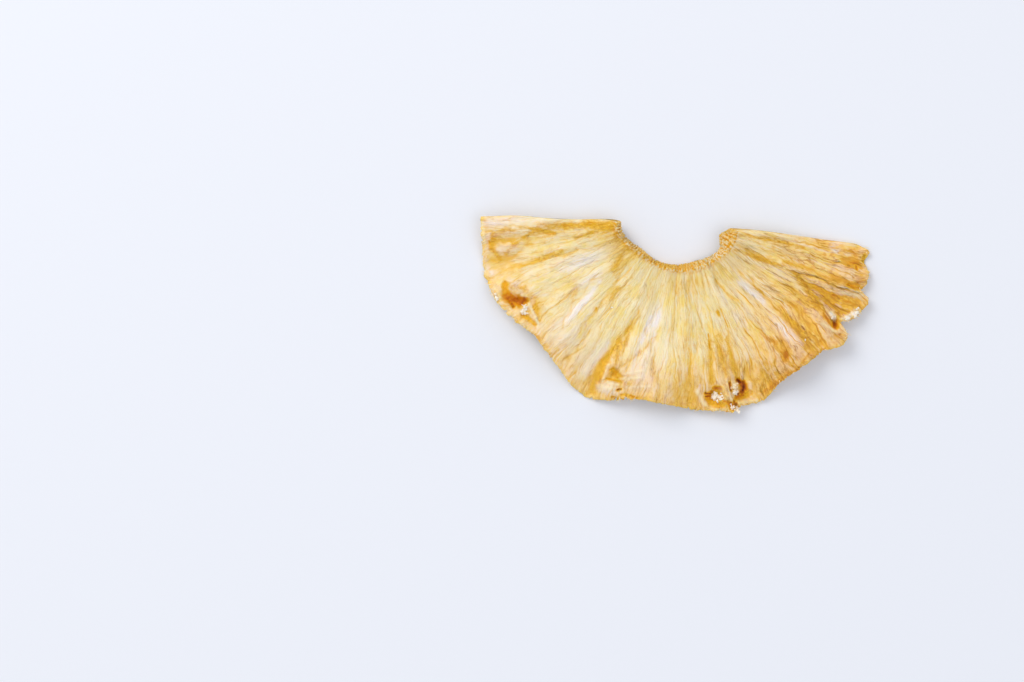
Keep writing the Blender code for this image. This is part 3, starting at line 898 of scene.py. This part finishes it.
def flesh_material():
    """Cream to golden flesh, streaked along its fibres, with thin darker lines in its folds;
    painted shade in its folds, creases, hollows and pits, and painted highlights on its ridges and
    lips.
    """
    n = Nodes("dried_flesh_look")
    fibre = n.attribute("fibre", "Vector")
    streaks, threads, hairs, clouds, mottle, veins, net = (
        n.noise(fibre, scale, detail, roughness)
        for scale, detail, roughness in (
            ((0.45, 0.12, 0.05), 3, 0.6),
            ((1.6, 0.26, 0.1), 3, 0.6),
            ((5, 0.45, 0.2), 2, 0.6),
            ((0.16, 0.22, 0.1), 4, 0.6),
            ((0.7, 0.6, 0.3), 4, 0.65),
            ((1.1, 0.16, 0.05), 2, 0.5),
            ((1, 0.75, 0.3), 2, 0.6),
        )
    )
    veins, net = n.line(veins, 0.035), n.line(net, 0.05)
    rough, tan, lip, dark, bead = map(n.attribute, ("rough", "tan", "lip", "dark", "bead"))
    uneven = n.math("SUBTRACT", mottle, 0.5)
    grain = n.math("ADD", n.times(n.math("SUBTRACT", streaks, 0.5), 1.1), n.times(uneven, 1.6))

    def patch(name, low, high, reach):
        """A colour patch broken into streaks."""
        return n.between(n.math("ADD", n.attribute(name), n.times(grain, reach)), low, high)

    def patches(colour, name, rows):
        """Lays patches over a colour: start, end, how broken, strongest share, colour."""
        for low, high, reach, most, laid in rows:
            colour = n.mix(n.times(patch(name, low, high, reach), most), colour, laid)
        return colour

    def fold_line(name, gentle, steep):
        """1 in the valley of a fold, fading slowly on its gentle side and fast on the other."""
        wave = n.attribute(name)
        near = n.between(wave, 0, gentle, 1, 0)
        far = n.between(wave, -steep, 0, 0, 1)
        return n.times(n.times(n.times(near, far), rough), n.attribute(name + "_depth"))

    colour = n.mix(tan, CREAM, TAN)
    line = n.mix(tan, LINE, RUST)
    veins = n.times(n.times(veins, n.between(streaks, 0.38, 0.66)), rough)
    colour = n.layers(colour, (
        (clouds, 0.42, 0.68, 0.75, YELLOW),
        (mottle, 0.5, 0.7, 0.4, YELLOW),
        (streaks, 0.5, 0.74, 0.35, STRAW),
        (threads, 0.5, 0.26, 0.4, PALE),
    ))
    colour = patches(colour, "gold", (
        (0, 1.2, 0.8, 0.85, STRAW),
        (0.4, 2, 1.8, 0.9, GOLD),
        (1, 2.4, 2.4, 0.6, AMBER),
    ))
    netted = n.times(net, patch("gold", 0.2, 1.1, 0.8))
    colour = n.mix(n.times(netted, 0.6), colour, AMBER)
    freckles = n.times(n.between(mottle, 0.48, 0.66), tan)
    colour = n.mix(n.times(freckles, 0.55), colour, RUST)
    colour = patches(colour, "pale", ((0.1, 1.5, 1.2, 0.8, PALE),))
    # Painted shade: golden flesh in the hollows of the relief, rust-brown in the deepest ones
    # towards the right.
    hollow = n.times(n.attribute("hollow"), n.math("MAXIMUM", rough, 1))
    colour = n.layers(colour, ((hollow, 0, 0.9, 0.5, STRAW), (hollow, 0.4, 1.1, 0.5, GOLD)))
    hollow_shade = n.times(n.between(hollow, 0.3, 1.2, 0, 0.4), tan)
    colour = n.mix(hollow_shade, colour, RUST)
    # Painted highlight: paler flesh on the ridges of the relief.
    colour = n.layers(colour, ((hollow, 0, -1, 0.3, PALE),))
    colour = n.mix(n.times(veins, 0.4), colour, line)
    # Fold valleys in straw and the line colour, soft on the gentle side and sharp on the steep one:
    # partly the flesh's golden lines, partly painted shade.
    for name, gentle, steep, most, laid in (
        ("gather", 0.3, 0.05, 0.4, STRAW),
        ("gather", 0.09, 0.03, 0.65, line),
        ("wrinkle", 0.22, 0.04, 0.3, STRAW),
        ("wrinkle", 0.08, 0.03, 0.5, line),
    ):
        colour = n.mix(n.times(fold_line(name, gentle, steep), most), colour, laid)
    # The bottoms of the creases in gold to rust-brown: partly the flesh's deeper colour there,
    # partly painted shade.
    colour = n.mix(n.times(n.attribute("crease"), 0.65), colour, n.mix(tan, GOLD, RUST))
    # Duller and darker towards the rim.
    colour = n.mix(n.attribute("outer_dull"), colour, DULL_TAN)
    colour = patches(colour, "brown", ((0.1, 1.1, 1, 0.7, AMBER), (0.7, 1.6, 1.4, 0.7, BROWN)))
    # In the pits gold, amber, brown and near black by darkness: partly the pockets' browner flesh,
    # partly painted shade of their depth and of the holes.
    dark = n.math("ADD", dark, n.times(n.times(uneven, 1.3), dark))
    colour = n.layers(colour, (
        (dark, 0.02, 0.3, 0.85, GOLD),
        (dark, 0.15, 0.45, 1, AMBER),
        (dark, 0.35, 0.75, 1, BROWN),
        (dark, 0.7, 1.05, 1, DARK),
        # Paler tops of the lips and strands: partly paler torn flesh, partly painted highlight.
        (lip, 0, 0.7, 0.9, CREAM),
        (lip, 0.5, 1, 0.9, PALE),
    ))
    edge = n.times(n.attribute("rim"), n.between(threads, 0.35, 0.65, 0.1, 0.7))
    colour = n.mix(edge, colour, STRAW)
    colour = n.mix(n.times(n.times(edge, net), 0.5), colour, BROWN)
    # Pale bead tops, partly the pale fibre ends, partly painted highlight; amber in the gaps
    # between them, partly deeper flesh, partly painted shade.
    beads = n.times(n.between(bead, 0.4, 0.95), n.attribute("beaded"))
    wall = n.mix(beads, CORE_WALL, CORE_BEAD)
    wall = n.layers(wall, ((bead, 0.35, 0, 0.7, AMBER), (clouds, 0.45, 0.7, 0.5, CORE_WALL)))
    colour = n.mix(n.attribute("wall"), colour, wall)
    colour = n.mix(n.times(n.attribute("seam"), 0.6), colour, AMBER)
    relief = n.bumps((
        (threads, 0.00026),
        (hairs, 0.00008),
        (mottle, 0.0002),
        (n.times(netted, -1), 0.0001),
        (n.times(veins, -1), 0.00012),
    ))
    return n.finish({
        "Base Color": colour,
        "Roughness": n.between(threads, 0.3, 0.7, 0.4, 0.62),
        "Specular IOR Level": 0.3,
        "Subsurface Weight": 0.6,
        "Subsurface Radius": (1, 0.85, 0.6),
        "Subsurface Scale": 0.0008,
        "Normal": relief,
    })


def tuft_material():
    """Chalky crumbs, speckled in white or in the colours of the flesh."""
    n = Nodes("tuft_look")
    place = n.add("ShaderNodeTexCoord").outputs["Object"]
    specks = n.noise(place, (1800, 1800, 1800), 2, 0.6)
    speckled = n.between(specks, 0.4, 0.7)
    white = n.mix(speckled, CRUMB_WHITE, CRUMB_SHADE)
    plain = n.mix(speckled, CREAM, TAN)
    return n.finish({
        "Base Color": n.mix(n.attribute("white"), plain, white),
        "Roughness": 0.8,
        "Subsurface Weight": 0.15,
        "Subsurface Radius": (1, 0.9, 0.8),
        "Subsurface Scale": 0.0003,
        "Normal": n.bumps(((specks, 0.0001),)),
    })


def crumb(rng, radius):
    """Points and faces of one lumpy crumb about its own middle, in mm."""
    bm = bmesh.new()
    bmesh.ops.create_icosphere(bm, subdivisions=2, radius=radius)
    shift = rng.uniform(0, 50, 3)
    stretch = rng.uniform(0.7, 1.3, 3)
    points = np.array([v.co for v in bm.verts])
    x, y, z = (points / radius * LUMPS).T
    lumps = field(x + shift[0], y + shift[1], 71) + field(z + shift[2], x, 72)
    points = points * (1 + LUMP_HEIGHT * lumps[:, None]) * stretch
    faces = [[v.index for v in f.verts] for f in bm.faces]
    bm.free()
    return points, faces


def fray(rng, angle):
    """Points and faces of one loose fibre that curls out of the rim, in the frame and in metres."""
    root = rim_radius(angle) + ragged(angle)
    length = rng.uniform(*FRAY_LENGTH)
    turn = rng.normal(0, 0.9)
    curl = rng.normal(0, 1.2)
    rise = rng.normal(-0.1, 0.25)
    steps = np.linspace(0, 1, FRAY_STEPS + 1)
    direction = turn + curl * steps[1:]
    outward, aside = (
        np.append(0, np.cumsum(part(direction) * length / FRAY_STEPS)) for part in (np.cos, np.sin)
    )
    radius = root - FRAY_ROOT + outward
    turned = angle + np.degrees(aside / radius)
    height = top_height(np.array([angle]), np.array([root - 0.5]))[0] - FRAY_SINK
    height = height + rise * length * steps
    path = to_frame(turned, radius, np.maximum(height, FRAY_LOWEST))
    thick = rng.uniform(*FRAY_RADIUS) * MM * (1 - 0.6 * steps)
    along = np.gradient(path, axis=0)
    along /= np.linalg.norm(along, axis=1)[:, None]
    side = np.cross(along, (0, 0, 1))
    up = np.cross(side, along)
    round_it = np.linspace(0, 2 * np.pi, FRAY_SIDES + 1)[:-1, None]
    ring = np.cos(round_it) * side[:, None] + np.sin(round_it) * up[:, None]
    points = (path[:, None] + thick[:, None, None] * ring).reshape(-1, 3)
    return points, tube_faces(FRAY_STEPS + 1, FRAY_SIDES)


def make_tufts(material):
    """One mesh of all the crumbs in the eye pockets and on the torn edge, and the loose fibres."""
    rng = np.random.default_rng(7)
    points, faces, whites = [], [], []

    def take(made, sides, white):
        start = sum(map(len, points))
        points.append(made)
        faces.extend([k + start for k in side] for side in sides)
        whites.append(np.full(len(made), white))

    for angle, radius, half_round, half_out, white in TUFTS:
        count = max(1, round(CRUMBS_PER_AREA * np.pi * half_round * half_out))
        aside, outward = rng.normal(0, 0.5, (2, count))
        places = radius + outward * half_out
        turned = angle + np.degrees(aside * half_round / radius)
        dome = np.maximum(0, 1 - aside**2 - outward**2) * min(half_round, half_out)
        heights = top_height(turned, places) + dome * rng.uniform(0.1, 0.9, count)
        for middle in to_frame(turned, places, heights):
            made, sides = crumb(rng, rng.uniform(*CRUMB_RADIUS))
            take(made * MM + middle, sides, white * rng.uniform(0.8, 1))
    for angle, spread, count in FRAYS:
        for place in rng.normal(angle, spread / 2, count):
            made, sides = fray(rng, place)
            take(made, sides, rng.uniform(0, 0.5))
    piece = add_mesh("eye_tufts", np.concatenate(points).tolist(), faces, material)
    piece.data.shade_smooth()
    store(piece.data, "white", np.concatenate(whites))
    return piece


# Soft lights over the slice: name, place, size, power, colour.
LIGHTS = (
    ("key", (-0.55, 0.55, 0.75), 0.7, 5, (1, 0.985, 0.95)),
    ("fill", (0.5, -0.3, 0.9), 0.9, 1.5, (0.95, 0.97, 1)),
)
FLOOR_HALF = 3
SKY = (0.96, 0.97, 1, 1)
SKY_STRENGTH = 0.71


def make_stage():
    """A pale floor, soft light from the upper left, and a white sky."""
    look = Nodes("floor_look").finish({"Base Color": FLOOR, "Roughness": 0.9})
    corners = [(x * FLOOR_HALF, y * FLOOR_HALF, 0) for x, y in ((-1, -1), (1, -1), (1, 1), (-1, 1))]
    floor = add_mesh("floor", corners, [(0, 1, 2, 3)], look)
    world = bpy.data.worlds.new("sky")
    world.use_nodes = True
    sky = world.node_tree.nodes["Background"]
    sky.inputs["Color"].default_value = SKY
    sky.inputs["Strength"].default_value = SKY_STRENGTH
    bpy.context.scene.world = world
    for name, place, size, power, colour in LIGHTS:
        light = bpy.data.lights.new(name, "AREA")
        light.shape = "DISK"
        light.size = size
        light.energy = power
        light.color = colour
        lamp = add_object(name, light)
        lamp.location = place
        lamp.rotation_euler = (-Vector(place)).to_track_quat("-Z", "Y").to_euler()


def make_camera():
    """Straight above, framed as the photograph is."""
    camera = bpy.data.cameras.new("camera")
    camera.lens = LENS
    camera.sensor_width = SENSOR
    camera.clip_start = 0.01
    eye = add_object("camera", camera)
    x = CORE_AXIS[0] + (FRAME_PIXELS[0] / 2 - AXIS_PIXEL[0]) / PIXELS_PER_MM
    y = CORE_AXIS[1] - (FRAME_PIXELS[1] / 2 - AXIS_PIXEL[1]) / PIXELS_PER_MM
    height = FRAME_PIXELS[0] / PIXELS_PER_MM * LENS / SENSOR
    eye.location = (x * MM, y * MM, height * MM)
    bpy.context.scene.camera = eye


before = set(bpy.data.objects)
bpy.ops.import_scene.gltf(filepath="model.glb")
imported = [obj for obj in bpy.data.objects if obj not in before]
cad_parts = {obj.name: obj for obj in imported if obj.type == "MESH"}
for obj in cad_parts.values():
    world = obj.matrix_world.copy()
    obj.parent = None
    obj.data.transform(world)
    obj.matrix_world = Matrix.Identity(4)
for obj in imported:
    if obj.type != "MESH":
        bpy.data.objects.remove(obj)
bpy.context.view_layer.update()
bpy.context.scene.view_settings.view_transform = "Standard"
make_stage()
make_camera()
flesh = make_slice(flesh_material())
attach(flesh, BODY)
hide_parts(NODE)
tufts = make_tufts(tuft_material())
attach(tufts, BODY)
